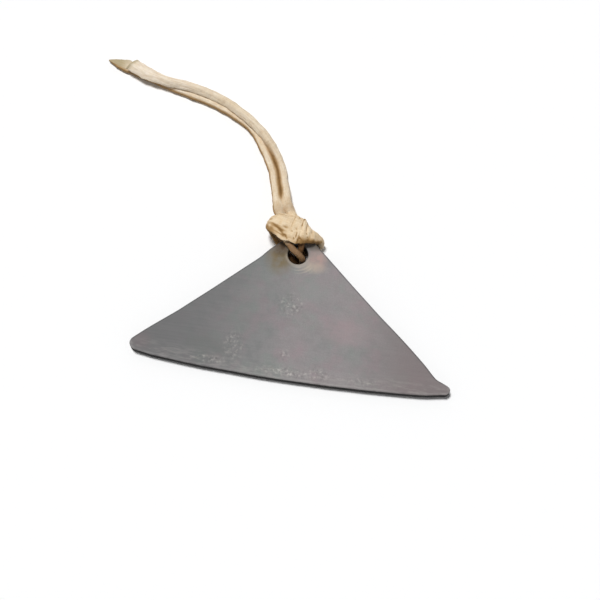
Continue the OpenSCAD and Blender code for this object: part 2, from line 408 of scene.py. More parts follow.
def groove_shade(i, x):
    """How dark the painted shade of the groove between the legs is."""
    return GROOVE_SHADE * ramp(x, *GROOVE_SIDE) * window(past_hitch(i), *GROOVE_WINDOW)


def hole_shade(i):
    """1 where the lace lies below the plate's hole, which is painted dark as shade."""
    return hole_share(i) * ramp((to_hitch @ line[i].xyz).z, *BELOW_RAMP)


print("lower edge of the band:", round(lower_edge(band_at, 1), 2))

# %% [markdown]
# A cut through the lace is a soft oval, a little fuller than in the solid model, because leather strands
# press against each other. It is flatter towards the tips and narrower in the hole, and it swells where
# the band crosses the legs, so that they run into each other. The band ends in a thick lobe on the left.

# %% Width and thickness of the lace
FULL = 1.1
LEG_FULL = 1.2
NARROW = 0.15
FLAT_END = 0.5
LEFT_FLAT_RAMP = (16, 5)
RIGHT_FLAT_RAMP = (14, 3)
SWELL = 0.28
SWELL_RAMP = (24, 5)
LOBE = 0.35
LOBE_WINDOW = (-14, -11, -8, -4)


def half_sizes(i):
    """Half the width and half the thickness of the lace at a step of the line, in millimetres."""
    width = line[i].w
    at_tips = ramp(from_left_tip(i), *LEFT_FLAT_RAMP) + ramp(from_right_tip(i), *RIGHT_FLAT_RAMP)
    flat = 1 + FLAT_END * at_tips
    full = (FULL + (LEG_FULL - FULL) * leg_share(i)) * (1 - NARROW * hole_share(i))
    pressed = 1 + SWELL * ramp(abs(past_hitch(i)), *SWELL_RAMP)
    half_width = STRAND_R * width * full * flat * pressed
    half_thick = STRAND_R * min(width, 1 / math.sqrt(width)) * FULL * pressed / math.sqrt(flat)
    return half_width, half_thick * (1 + LOBE * window(past_band(i), *LOBE_WINDOW))


print("band of", [round(2 * c, 1) for c in half_sizes(band_at)], "mm")

# %% [markdown]
# The oval then gets its small irregularities. The skin is lumpy and puckered, and its lower side is
# pressed flat by the steel and the table. The band's upper edge droops onto the legs, and its right part
# is tucked in. Past the hitch the legs close up, and further out the right leg's inner side bends down to
# the left leg. The left end is cut to a long point, and the right end is cut off at a slant.

# %% Section of the lace
LUMP = 0.13
LUMPS = 0.45
PUCKER = 0.06
PUCKERS = 1.6
BACK_FOLD = 0.4
SEATED = 0.1
LEG_SEATED = 0.08
DROOP = 0.85
DROOP_SIDE = (-0.2, -1)
TUCK = 0.5
TUCK_WINDOW = (4, 7.5, 11, 14)
CLOSE = 0.22
CLOSE_WINDOW = (0, 15, 55, 75)
MEET = 0.55
MEET_RAMP = (45, 70)
MEET_SIDE = (-0.1, -1)
POINT = 6.0
POINT_CUT = 0.9
POINT_CURVE = 1.6
POINT_SIDE = 0.4
POINT_THICK = 0.45
SLANT = 0.35
SLANT_RUN = 5


def section_point(i, turn):
    """A point of the lace's skin in millimetres: across, out and ahead, and its painted shade and fray
    there.
    """
    x, y = math.cos(turn), math.sin(turn)
    inner_side = ramp(x, 0, -1)
    past = past_hitch(i)
    half_width, half_thick = half_sizes(i)
    height, crease = gathers(i, x, half_width)
    spot = Vector((half_width * x, half_thick * y, from_left_tip(i)))
    swell = 1 + LUMP * noise.noise(spot * LUMPS) + PUCKER * noise.noise(spot * PUCKERS)
    cut = 1 - POINT_CUT * max(0.0, 1 - from_left_tip(i) / POINT) ** POINT_CURVE
    across = half_width * (x * swell * cut + POINT_SIDE * (1 - cut))
    across *= 1 - TUCK * inner_side * window(past_band(i), *TUCK_WINDOW)
    across *= 1 + CLOSE * inner_side * window(past, *CLOSE_WINDOW)
    out = half_thick * y * swell * (POINT_THICK + (1 - POINT_THICK) * cut)
    if y > 0:
        out *= 1 + height
    else:
        out *= (1 + BACK_FOLD * height) * (1 - SEATED - LEG_SEATED * leg_share(i))
    out -= DROOP * band_share(i) * ramp(x, *DROOP_SIDE)
    if i > hitch_end:
        out -= MEET * ramp(past, *MEET_RAMP) * ramp(x, *MEET_SIDE)
    ahead = -SLANT * across * ramp(from_right_tip(i), SLANT_RUN, 0)
    # The last value is the painted shade, with the frayed brown.
    return across, out, ahead, max(crease, lower_edge(i, x), groove_shade(i, x), hole_shade(i))


print("middle of the band:", [round(c, 2) for c in section_point(band_at, math.pi / 2)])

# %% [markdown]
# Use has left grease on the strand that lies over and in the hole. Below the plate, in the hole and most
# of all on the strand that comes up out of the hole under the band, the same brown is painted shade. The
# cut ends have gone dark too. Each step of the line has a share of grease and painted shade and a share of
# cut end, which the finish turns into colours.

# %% Grease, painted shade and cut ends
LOW_SHADE = 0.7
LOW_RAMP = (PLATE_THICK + 0.6, PLATE_THICK - 1.2)
UNSHADED_RIGHT_RAMP = (6, 4)
IN_HOLE_SHADE = 0.22
OVER_HOLE_GREASE = 0.88
OVER_HOLE_RAMP = (top + 1, top + 0.5)
RISING_SHADE = 0.97
RISING_WINDOW = (-70, -45, -20, -8)
END_FADE = 3
END_STEPS = 4


def grease_and_shade(i):
    """Grease over and in the hole, and painted shade below the face, in the hole and where the lace comes
    up.
    """
    place = to_hitch @ line[i].xyz
    # Painted shade where the lace goes below the plate's face on the left; the right side stays unshaded.
    below_face = ramp(place.z, *LOW_RAMP) * ramp(place.x, *UNSHADED_RIGHT_RAMP)
    low = below_face * (LOW_SHADE + IN_HOLE_SHADE * hole_share(i)) * (1 - leg_share(i))
    # Grease on the strand over and in the hole.
    over_hole = OVER_HOLE_GREASE * hole_share(i) * ramp(place.z, *OVER_HOLE_RAMP)
    # Painted shade on the strand that comes up under the band.
    rising = RISING_SHADE * window(i - hitch_end, *RISING_WINDOW)
    return max(low, over_hole, rising)


def cut_end(i):
    """1 at the two cut ends of the lace."""
    left_end = ramp(from_left_tip(i), POINT + END_FADE, POINT - END_FADE)
    right_end = ramp(i, len(line) - 1 - END_STEPS, len(line) - 1)
    return max(left_end, right_end)


print("greased_and_shaded steps:", sum(grease_and_shade(i) > 0.5 for i in range(len(line))), "of", len(line))

# %% [markdown]
# The lace is swept along its line: one ring of points is drawn out again and again. The bmesh starts with
# a capped circle, extrudes its rim for each step and moves the new ring to its place. A curve with a
# bevel would be quicker, but it couldn't give each step a section of its own. Each vertex keeps where it
# would lie on the straightened lace, so that the grain can follow every turn, its painted shade with the
# frayed brown, its grease with more painted shade, and how near a cut end it is, so that the finish can
# colour it.

# %% Sweeping the lace
SIDES = 48


def place_ring(ring, i, layers):
    """Moves a ring of vertices to a step of the line."""
    side, straight, shade_fray_layer, grease_shade_layer, end_layer = layers
    across_way = ways[i].cross(facings[i])
    for vert in ring:
        turn = 2 * math.pi * vert[side] / SIDES
        across, out, ahead, shade_and_fray = section_point(i, turn)
        vert.co = line[i].xyz + (across_way * across + facings[i] * out + ways[i] * ahead) * MM
        vert[straight] = Vector((across, out, from_left_tip(i)))
        # Painted shade of creases, groove, hole and lower edges, with the frayed brown.
        vert[shade_fray_layer] = shade_and_fray
        # Grease, and painted shade below the plate and on the rising strand.
        vert[grease_shade_layer] = grease_and_shade(i)
        vert[end_layer] = cut_end(i)


def sweep_lace(name, first, last):
    """A closed stretch of the lace from one step of the line to another."""
    bm = bmesh.new()
    layers = (
        bm.verts.layers.int.new("side"),
        bm.verts.layers.float_vector.new("straight"),
        bm.verts.layers.float.new("shade_and_fray"),
        bm.verts.layers.float.new("grease_and_shade"),
        bm.verts.layers.float.new("end"),
    )
    ring = bmesh.ops.create_circle(bm, cap_ends=True, segments=SIDES, radius=1)["verts"]
    for k, vert in enumerate(ring):
        vert[layers[0]] = k
    rim = list(bm.edges)
    place_ring(ring, first, layers)
    for i in range(first + 1, last + 1):
        drawn = bmesh.ops.extrude_edge_only(bm, edges=rim)["geom"]
        ring = {e for e in drawn if isinstance(e, bmesh.types.BMVert)}
        rim = [e for e in drawn if isinstance(e, bmesh.types.BMEdge) and ring.issuperset(e.verts)]
        place_ring(ring, i, layers)
    bmesh.ops.holes_fill(bm, edges=rim, sides=SIDES)
    bmesh.ops.recalc_face_normals(bm, faces=bm.faces)
    for face in bm.faces:
        face.smooth = len(face.verts) == 4
    mesh = bpy.data.meshes.new(name)
    bm.to_mesh(mesh)
    bm.free()
    piece = bpy.data.objects.new(name, mesh)
    bpy.context.scene.collection.objects.link(piece)
    print(name, len(mesh.polygons), "faces")
    return piece


thong_hitch = sweep_lace("hitch", hitch_start, hitch_end)
left_leg = sweep_lace("left_leg", 0, hitch_start)
right_leg = sweep_lace("right_leg", hitch_end, len(line) - 1)

# %% [markdown]
# The thong turns with the swivel as one body. Its two legs are free ends of a lace, and a path of even
# steps is drawn along each, with its real length. Each leaves the hitch and ends in a bare cut.

# %% Thong in the frame
PATH_STEP = 2.4 * MM

thong_pieces = {"thong_hitch": thong_hitch, "thong_leg_left": left_leg, "thong_leg_right": right_leg}
for node_name, piece in thong_pieces.items():
    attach(piece, "thong")
    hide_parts(node_name)

for piece, first, last, length in (
    (left_leg, 0, hitch_first, left_length),
    (right_leg, hitch_last, len(thong_points) - 1, right_length),
):
    path = [place.xyz for place in even_steps(first, last, PATH_STEP)[0]]
    print(piece.name, f"{length:.4f} m over", len(path), "points")

# %% [markdown]
# The steel starts as its outline. The real one was drawn out and trimmed: a round apex about the hole,
# two straight flanks, a long edge with a slight belly and a rounded corner at either end of it.
# Two directions describe each flank: out of the steel and down along it.
# A corner's circle touches the flank and the long edge, which is itself a very large circle.

# %% Outline of the steel
APEX_R = 5.9
HOLE_D = 5.8
LEFT_SLOPE = math.radians(42.7)
RIGHT_SLOPE = math.radians(41)
EDGE_DEPTH = 36.6
EDGE_R = 480
EDGE_SHIFT = 2.5
CORNER_R = 2.2
TOE_R = 1.6

left_out = Vector((-math.sin(LEFT_SLOPE), math.cos(LEFT_SLOPE)))
left_down = Vector((-math.cos(LEFT_SLOPE), -math.sin(LEFT_SLOPE)))
right_out = Vector((math.sin(RIGHT_SLOPE), math.cos(RIGHT_SLOPE)))
right_down = Vector((math.cos(RIGHT_SLOPE), -math.sin(RIGHT_SLOPE)))
edge_centre = Vector((EDGE_SHIFT, EDGE_R - EDGE_DEPTH))


def corner_centre(out, down, along_out, radius):
    """Centre of a corner's circle that touches the striking edge, at a distance out from the hole."""
    across = along_out - out.dot(edge_centre)
    along_down = down.dot(edge_centre) + math.sqrt((EDGE_R - radius) ** 2 - across**2)
    return out * along_out + down * along_down


left_at = corner_centre(left_out, left_down, APEX_R - CORNER_R, CORNER_R)
right_at = corner_centre(right_out, right_down, APEX_R - TOE_R, TOE_R)
print("corners at", [round(c, 2) for c in left_at], "and", [round(c, 2) for c in right_at])

# %% [markdown]
# The outline is drawn like a pen line, from a single vertex. Every round stretch is spun about its own
# centre, and the flanks are drawn straight from one arc to the next. The right flank ends in shorter
# steps, because its corner is drawn out further below.

# %% Drawing the outline
SHORT_STEPS_RUN = 4
SAME_PLACE = 0.001

left_foot = (left_at - edge_centre).normalized()
right_foot = (right_at - edge_centre).normalized()
flank_end = right_at + right_out * TOE_R

steel_bm = bmesh.new()
pen = [steel_bm.verts.new((right_out * APEX_R).to_3d())]


def draw_arc(centre, start, end, steps):
    """Spins the last vertex about a centre, from one direction to another."""
    angle = -start.angle_signed(end)
    drawn = bmesh.ops.spin(
        steel_bm, geom=pen, cent=centre.to_3d(), axis=(0, 0, 1), angle=angle, steps=steps,
        use_duplicate=False,
    )
    pen[:] = [v for v in drawn["geom_last"] if isinstance(v, bmesh.types.BMVert)]


def draw_straight(end, steps):
    """Draws the last vertex on in a straight row of edges."""
    start = pen[0].co.copy()
    for k in range(steps):
        pen[:] = bmesh.ops.extrude_vert_indiv(steel_bm, verts=pen)["verts"]
        pen[0].co = start.lerp(end.to_3d(), (k + 1) / steps)


draw_arc(Vector((0, 0)), right_out, left_out, steps=84)
draw_straight(left_at + left_out * CORNER_R, steps=80)
draw_arc(left_at, left_out, left_foot, steps=14)
draw_arc(edge_centre, left_foot, right_foot, steps=120)
draw_arc(right_at, right_foot, right_out, steps=14)
draw_straight(flank_end - right_down * SHORT_STEPS_RUN, steps=20)
draw_straight(right_out * APEX_R, steps=74)
bmesh.ops.remove_doubles(steel_bm, verts=steel_bm.verts, dist=SAME_PLACE)
print("outline of", len(steel_bm.verts), "vertices")

# %% [markdown]
# The outline is extruded inwards and each new vertex is pulled straight in to the hole's circle, which
# leaves a ring of faces like spokes. The ring is drawn out to the plate's thickness. A file has broken
# all sharp edges, and a bevel does the same at the hole and round the outline.

# %% Body of the steel
EDGE_BREAK = 0.4
RIM_BREAK = 0.3
SHARP = 1.2
HOLE_MARGIN = 0.01

drawn = bmesh.ops.extrude_edge_only(steel_bm, edges=steel_bm.edges)["geom"]
for vert in drawn:
    if isinstance(vert, bmesh.types.BMVert):
        vert.co *= HOLE_D / 2 / vert.co.length
drawn = bmesh.ops.extrude_face_region(steel_bm, geom=steel_bm.faces)["geom"]
raised = [v for v in drawn if isinstance(v, bmesh.types.BMVert)]
bmesh.ops.translate(steel_bm, verts=raised, vec=(0, 0, PLATE_THICK))
bmesh.ops.recalc_face_normals(steel_bm, faces=steel_bm.faces)


def sharp_edges(near_hole):
    """Edges where a wall meets a face, at the hole or round the outline."""
    found = []
    for edge in steel_bm.edges:
        at_hole = max(v.co.xy.length for v in edge.verts) < HOLE_D / 2 + HOLE_MARGIN
        if edge.calc_face_angle(0) > SHARP and at_hole == near_hole:
            found.append(edge)
    return found


for near_hole, width in ((True, RIM_BREAK), (False, EDGE_BREAK)):
    bmesh.ops.bevel(
        steel_bm, geom=sharp_edges(near_hole), offset=width, offset_type="OFFSET", segments=3, profile=0.5,
        affect="EDGES", material=-1, clamp_overlap=False,
    )
print("body of", len(steel_bm.faces), "faces")

# %% [markdown]
# The spokes are divided, so that the faces have points enough to be hammered. Each vertex notes how near
# it is to a wall: 0 on the faces, 1 on the walls and between on the broken edges. The finish uses that
# later for worn edges and for the scale on the walls.

# %% Points on the faces
FACE_CUTS = 36
LEVEL = 0.99
BREAK_STARTS = 0.35

spokes = [e for e in steel_bm.edges if min(abs(f.normal.z) for f in e.link_faces) > LEVEL]
bmesh.ops.subdivide_edges(steel_bm, edges=spokes, cuts=FACE_CUTS, use_grid_fill=True)
steel_bm.normal_update()
rim_layer = steel_bm.verts.layers.float.new("rim")
for vert in steel_bm.verts:
    width = RIM_BREAK if vert.co.xy.length < HOLE_D / 2 + 2 * RIM_BREAK else EDGE_BREAK
    into_wall = min(1.0, min(vert.co.z, PLATE_THICK - vert.co.z) / width)
    on_face = min(abs(face.normal.z) for face in vert.link_faces) > LEVEL
    vert[rim_layer] = 0.0 if on_face else BREAK_STARTS + (1 - BREAK_STARTS) * into_wall
print("steel of", len(steel_bm.faces), "faces from", len(spokes), "spokes")

# %% [markdown]
# The right corner of the real steel is drawn out into a small toe that stands past the line of its flank.
# The same is done here with the finished body: points near the corner slide along the striking edge.
# The slide grows smoothly along the flank, which leaves the hollow in front of the toe.

# %% Toe
TOE_REACH = 1.1
HOLLOW_RUN = 3.2

toe_slide = corner_centre(right_out, right_down, APEX_R - TOE_R + TOE_REACH, TOE_R) - right_at
corner_along = right_at.dot(right_down)
for vert in steel_bm.verts:
    share = ramp(vert.co.xy.dot(right_down), corner_along - HOLLOW_RUN, corner_along)
    vert.co += (toe_slide * share).to_3d()
print("toe slides by", [round(c, 2) for c in toe_slide], "mm")

# %% [markdown]
# Hand work is never quite true. The left flank of this steel is drawn in a little, its right flank bulges
# before the toe, and both ends of the striking edge are lifted, all by about half a millimetre at most.
# Bending the finished body, by windows along its flanks, keeps the outline itself simple.

# %% Out of true
DRAWN_IN = 0.52
DRAWN_IN_WINDOW = (4.5, 10, 36, 49)
BULGE = 0.36
BULGE_WINDOW = (26, 38, 47, 52.5)
FLANK_REACH = 10
TOE_LIFT = 0.5
TOE_LIFT_RAMP = (40, 47)
CORNER_LIFT = 0.35
CORNER_LIFT_RAMP = (-35, -41)
LIFT_REACH = 3.5


def out_of_true(place, from_edge):
    """How far hand work has moved a place of the plate from its true outline."""
    drawn_in = DRAWN_IN * window(place.dot(left_down), *DRAWN_IN_WINDOW)
    bulge = BULGE * window(place.dot(right_down), *BULGE_WINDOW)
    lift = TOE_LIFT * ramp(place.x, *TOE_LIFT_RAMP) + CORNER_LIFT * ramp(place.x, *CORNER_LIFT_RAMP)
    shift = right_out * bulge * ramp(place.dot(right_out), APEX_R - FLANK_REACH, APEX_R)
    shift -= left_out * drawn_in * ramp(place.dot(left_out), APEX_R - FLANK_REACH, APEX_R)
    return shift + Vector((0, lift * ramp(from_edge, LIFT_REACH, 0)))


print("end of the right flank moves by", [round(c, 2) for c in out_of_true(flank_end, LIFT_REACH)], "mm")

# %% [markdown]
# A smith's hammer leaves the faces very slightly uneven and the outline a little wavy.
# Smooth noise of several sizes moves the points by less than a tenth of a millimetre, which only shows
# where light grazes. The hole stays round, so the waves start a little way out from it.
# The striking edge is uneven on a smaller scale, because striking has chipped and worn it.

# %% Hammered faces
HAMMER = 0.05
HAMMER_MARKS = 0.16
FINE_HAMMER = 0.02
FINE_MARKS = 0.5
WAVE = 0.09
WAVES = 0.11
CHIP = 0.06
CHIPS_ALONG = 1.1
CHIPS_DOWN = 0.6
CHIP_REACH = 1.2
ROUND_HOLE = 4
WAVE_FADE = 6

for vert in steel_bm.verts:
    place = vert.co.copy()
    from_edge = EDGE_R - (place.xy - edge_centre).length
    worn = max(0.0, 1 - from_edge / CHIP_REACH)
    free = min(1.0, max(0.0, (place.xy.length - ROUND_HOLE) / WAVE_FADE))
    vert.co += out_of_true(place.xy, from_edge).to_3d()
    vert.co.z += HAMMER * noise.noise(place * HAMMER_MARKS) + FINE_HAMMER * noise.noise(place * FINE_MARKS)
    vert.co.x += free * WAVE * noise.noise(place * WAVES + Vector((9, 0, 0)))
    vert.co.y += free * WAVE * noise.noise(place * WAVES + Vector((0, 7, 0)))
    vert.co.y += worn * CHIP * noise.noise(Vector((place.x * CHIPS_ALONG, place.z * CHIPS_DOWN, 2)))
lowest = min(vert.co.z for vert in steel_bm.verts)
print("hammered", len(steel_bm.verts), "vertices, lowest at", round(lowest, 3), "mm")

# %% [markdown]
# The finished body goes from the plate's own millimetres to its place in the frame, leaning on the
# strands. It takes the place of the plain solid and rides on the steel's body.

# %% Steel in the frame
bmesh.ops.transform(steel_bm, matrix=plate_axes, verts=steel_bm.verts)
for face in steel_bm.faces:
    face.smooth = True
steel_mesh = bpy.data.meshes.new("steel")
steel_bm.to_mesh(steel_mesh)
steel_bm.free()
steel = bpy.data.objects.new("steel", steel_mesh)
bpy.context.scene.collection.objects.link(steel)
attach(steel, "steel")
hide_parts("steel_plate")
print("steel", len(steel_mesh.polygons), "faces")

# %% [markdown]
# Finishes are made from nodes. A few short helpers keep the node trees readable: one adds a node and
# fills its inputs, one mixes two colours, one maps a value from one range to another, two combine values
# and one moves a pattern. The last one starts a new finish. An input takes either a plain value or the
# output of another node.

# %% Helpers for nodes
def add(tree, kind, inputs=(), **settings):
    """A shader node with its settings, whose inputs get values or links."""
    made = tree.nodes.new("ShaderNode" + kind)
    for name, value in settings.items():
        setattr(made, name, value)
    for key, value in dict(inputs).items():
        if isinstance(value, bpy.types.NodeSocket):
            tree.links.new(value, made.inputs[key])
        else:
            made.inputs[key].default_value = value
    return made


def mix(tree, share, first, second):
    """Two colours mixed by a share."""
    made = add(tree, "Mix", {0: share, 6: first, 7: second}, data_type="RGBA")
    return made.outputs[2]


def spread(tree, value, low, high, to_low=0.0, to_high=1.0):
    """A value carried smoothly from one range to another."""
    ends = {"Value": value, "From Min": low, "From Max": high, "To Min": to_low, "To Max": to_high}
    return add(tree, "MapRange", ends, interpolation_type="SMOOTHSTEP").outputs[0]


def combined(tree, operation, first, second=0.0):
    """Two values put together by an operation, such as ADD or MAXIMUM."""
    return add(tree, "Math", {0: first, 1: second}, operation=operation).outputs[0]


def times(tree, first, second):
    """Two values multiplied."""
    return combined(tree, "MULTIPLY", first, second)


def moved(tree, vector, **change):
    """Coordinates that are moved, turned or stretched by a Mapping node."""
    inputs = {"Vector": vector}
    for title, value in change.items():
        inputs[title.capitalize()] = value
    return add(tree, "Mapping", inputs).outputs[0]


def colour(red, green, blue):
    """A colour with full alpha."""
    return (red, green, blue, 1)


def new_finish(name):
    """A material with an empty tree, its shader and its output."""
    finish = bpy.data.materials.new(name)
    finish.use_nodes = True
    finish.node_tree.nodes.clear()
    shader = add(finish.node_tree, "BsdfPrincipled")
    add(finish.node_tree, "OutputMaterial", {"Surface": shader.outputs[0]})
    return finish, finish.node_tree, shader


print("helpers ready")

# %% [markdown]
# Both the steel and the leather are mottled: patches of a second tone with soft or hard edges.
# This is one node group with a scale, and a low and a high mark between which a patch fades in.
# A second group makes a single soft spot of a given size at a given place, for scuffs and stains.

# %% Mottle and spot groups
VECTOR, VALUE = "NodeSocketVector", "NodeSocketFloat"


def new_group(name, inputs, output):
    """An empty node group with named inputs and one output value."""
    group = bpy.data.node_groups.new(name, "ShaderNodeTree")
    for title, kind, value in inputs:
        socket = group.interface.new_socket(title, in_out="INPUT", socket_type=kind)
        socket.default_value = value
    group.interface.new_socket(output, in_out="OUTPUT", socket_type=VALUE)
    start = group.nodes.new("NodeGroupInput")
    end = group.nodes.new("NodeGroupOutput")
    return group, start.outputs, end.inputs[0]


mottle_inputs = [
    ("Vector", VECTOR, (0, 0, 0)), ("Scale", VALUE, 1), ("Low", VALUE, 0.4), ("High", VALUE, 0.6),
]
mottle, given, result = new_group("mottle", mottle_inputs, "Mask")
cloud_inputs = {"Vector": given["Vector"], "Scale": given["Scale"], "Detail": 5, "Roughness": 0.55}
cloud = add(mottle, "TexNoise", cloud_inputs).outputs["Fac"]
mottle.links.new(spread(mottle, cloud, given["Low"], given["High"]), result)

spot_inputs = [("Vector", VECTOR, (0, 0, 0)), ("Centre", VECTOR, (0, 0, 0)), ("Size", VECTOR, (1, 1, 1))]
spot, given, result = new_group("spot", spot_inputs, "Mask")
offset = add(spot, "VectorMath", {0: given["Vector"], 1: given["Centre"]}, operation="SUBTRACT").outputs[0]
shrunk = add(spot, "VectorMath", {0: offset, 1: given["Size"]}, operation="DIVIDE").outputs[0]
reach = add(spot, "VectorMath", {0: shrunk}, operation="LENGTH").outputs["Value"]
spot.links.new(spread(spot, reach, 1.0, 0.2), result)


def mottled(tree, vector, scale, low, high):
    """The mottle group placed in a material."""
    inputs = {"Vector": vector, "Scale": scale, "Low": low, "High": high}
    return add(tree, "Group", inputs, node_tree=mottle).outputs[0]


def spotted(tree, vector, centre, size):
    """The spot group placed in a material."""
    inputs = {"Vector": vector, "Centre": centre, "Size": size}
    return add(tree, "Group", inputs, node_tree=spot).outputs[0]


print("groups", mottle.name, spot.name)

# %% [markdown]
# The steel has a dull grey skin from hardening and wiping, not a mirror. It is darker towards both
# corners, slightly pink and green in large clouds, and finely streaked along its length by the abrasive.
# The pattern is read in the plate's own millimetres, so that each mark can be put where it belongs.

# %% Steel: skin
LEFT_FADE = (8, -36)
RIGHT_FADE = (16, 40)

steel_finish, tree, steel_shader = new_finish("forged_steel")
placed = add(tree, "TexCoord").outputs["Object"]
plate_place = {"Vector": placed, "Location": hole_at, "Rotation": (LEAN, 0, 0), "Scale": (MM, MM, MM)}
on_steel = add(tree, "Mapping", plate_place, vector_type="TEXTURE").outputs[0]
parts = add(tree, "SeparateXYZ", {0: on_steel})

clouds = mottled(tree, on_steel, scale=0.07, low=0.35, high=0.65)
skin = mix(tree, clouds, colour(0.202, 0.204, 0.202), colour(0.249, 0.226, 0.229))
patches = mottled(tree, on_steel, scale=0.42, low=0.38, high=0.62)
skin = mix(tree, times(tree, patches, 0.3), skin, colour(0.282, 0.269, 0.27))
greenish = mottled(tree, moved(tree, on_steel, location=(15, 0, 0)), scale=0.16, low=0.48, high=0.68)
skin = mix(tree, times(tree, greenish, 0.4), skin, colour(0.2, 0.24, 0.215))
pinkish = mottled(tree, moved(tree, on_steel, location=(0, 60, 0)), scale=0.16, low=0.48, high=0.68)
skin = mix(tree, times(tree, pinkish, 0.4), skin, colour(0.29, 0.215, 0.235))
to_left = spread(tree, parts.outputs["X"], *LEFT_FADE, 0, 0.8)
skin = mix(tree, to_left, skin, colour(0.113, 0.115, 0.117))
to_right = spread(tree, parts.outputs["X"], *RIGHT_FADE, 0, 0.75)
skin = mix(tree, to_right, skin, colour(0.173, 0.142, 0.142))
streak_space = moved(tree, on_steel, scale=(0.1, 2.2, 1), rotation=(0, 0, 0.06))
streaks = mottled(tree, streak_space, scale=1, low=0.3, high=0.7)
skin = mix(tree, times(tree, streaks, 0.06), skin, colour(0.358, 0.34, 0.34))
grain = mottled(tree, on_steel, scale=2.6, low=0.3, high=0.7)
skin = mix(tree, times(tree, grain, 0.24), skin, colour(0.147, 0.142, 0.142))
print("steel skin of", len(tree.nodes), "nodes")

# %% [markdown]
# Round the hole the thong has left its grease: olive and brown to the left, pinkish and dark to the
# right. The two darkest spots, close under the knot on either side, are partly grease and partly the
# knot's shadow, painted on the steel. Further out the skin has a few faint clouds of green and pink from
# its hardening. Each stain is a soft spot with a place and a size in the plate's millimetres, a strength
# and a colour. The same blotches break up all of them, so that none looks like a drawn oval.

# %% Steel: stains
SPOT_DEPTH = 9

stains = [
    ((-4.8, -1.4), (5.4, 6.8), 0.85, colour(0.173, 0.13, 0.065)),
    # Dark brown under the knot's left side: partly grease, partly painted shadow.
    ((-5, 1.6), (3.4, 3.8), 0.95, colour(0.078, 0.05, 0.031)),
    ((5.6, -0.4), (4.2, 4.6), 0.8, colour(0.381, 0.269, 0.243)),
    # Dark brown under the band's right part: partly grease, partly painted shadow.
    ((4.4, 3.6), (4.8, 2.6), 0.95, colour(0.06, 0.036, 0.014)),
    ((4.6, -3.2), (5.5, 2.4), 0.6, colour(0.412, 0.351, 0.286)),
    ((16, -20.6), (10, 5.5), 0.45, colour(0.308, 0.234, 0.243)),
    ((6.4, -9.7), (6, 6), 0.4, colour(0.217, 0.243, 0.229)),
    ((-21, -30), (9, 5), 0.35, colour(0.121, 0.139, 0.125)),
    ((-40, -31), (4.5, 4.5), 0.35, colour(0.173, 0.13, 0.137)),
]


def face_spot(centre, size):
    """A soft spot on the upper face of the steel."""
    return spotted(tree, on_steel, (*centre, PLATE_THICK), (*size, SPOT_DEPTH))


blotch = spread(tree, mottled(tree, on_steel, scale=0.5, low=0.3, high=0.65), 0, 1, 0.6, 1)
for centre, size, strength, tint in stains:
    share = times(tree, times(tree, face_spot(centre, size), blotch), strength)
    skin = mix(tree, share, skin, tint)
print(len(stains), "stains")

# %% [markdown]
# Faint pale rings lie below the hole, and the hole's own rim is pale on that side. Both are painted
# highlights, as light would catch a shallow dish round the hole and the rim's broken edge. A sine of the
# distance from the hole draws the rings.

# %% Steel: rings at the hole
RING_RATE = 7
RIM_FADE = (4, 3.1)
PAINTED_HIGHLIGHT = colour(0.433, 0.385, 0.325)

flat_place = add(tree, "CombineXYZ", {0: parts.outputs["X"], 1: parts.outputs["Y"]}).outputs[0]
from_hole = add(tree, "VectorMath", {0: flat_place}, operation="LENGTH").outputs["Value"]
ripple = combined(tree, "SINE", times(tree, from_hole, RING_RATE))
# Painted highlight: pale rings in a patch below the hole.
ring_patch = face_spot((2, -3.9), (4.6, 2.6))
rings = times(tree, times(tree, spread(tree, ripple, -0.2, 1), ring_patch), times(tree, blotch, 0.4))
skin = mix(tree, rings, skin, PAINTED_HIGHLIGHT)
# Painted highlight on the hole's rim below the hole.
rim_highlight = times(tree, spread(tree, from_hole, *RIM_FADE), spread(tree, parts.outputs["Y"], 0.6, -1.6))
skin = mix(tree, times(tree, rim_highlight, 0.45), skin, PAINTED_HIGHLIGHT)
print("rings every", round(2 * math.pi / RING_RATE, 2), "mm")

# %% [markdown]
# Scuffs sit in small patches where a strike slipped, and more of them follow the striking edge. Each
# patch holds pale nicks and dark pits side by side: the same mottle twice, the second time moved away.

# %% Steel: scuffs
scuffs = [
    ((0.2, -15.1), (5.2, 4.8), 1),
    ((-13.8, -29), (4, 6.6), 0.9),
    ((0.6, -29.6), (2.4, 2.6), 0.8),
    ((-20, -33.8), (8, 1.9), 0.8),
    ((2, -34.4), (13, 2.2), 0.9),
    ((10.4, -33.8), (5.4, 3.4), 0.9),
    ((24, -34), (14, 1.8), 0.5),
]
slipped = 0.0
for centre, size, strength in scuffs:
    slipped = combined(tree, "MAXIMUM", times(tree, face_spot(centre, size), strength), slipped)
nicks = times(tree, slipped, mottled(tree, on_steel, scale=1.1, low=0.45, high=0.75))
pit_space = moved(tree, on_steel, location=(40, 0, 0))
pits = times(tree, slipped, mottled(tree, pit_space, scale=1.1, low=0.45, high=0.75))
skin = mix(tree, times(tree, nicks, 0.5), skin, colour(0.368, 0.347, 0.318))
skin = mix(tree, times(tree, pits, 0.55), skin, colour(0.108, 0.104, 0.099))
print(len(scuffs), "scuffs")

# %% [markdown]
# The striking edge does the work: fine pale wear runs along it, and its broken edge is rubbed pale. The
# broken edges of the flanks are darkened with painted shade instead, and the walls still carry the scale
# of the forge, painted near-black so that it stands for the walls' shade as well. How far a place is
# from the striking edge follows from its distance to the centre of that edge's large circle.

# %% Steel: edges and walls
WEAR_BAND = (EDGE_R - 6, EDGE_R - 1)
EDGE_BAND = (EDGE_R - 4, EDGE_R - 2)
HOLE_BAND = (4.5, 5.5)
SCALE_STARTS = 0.92

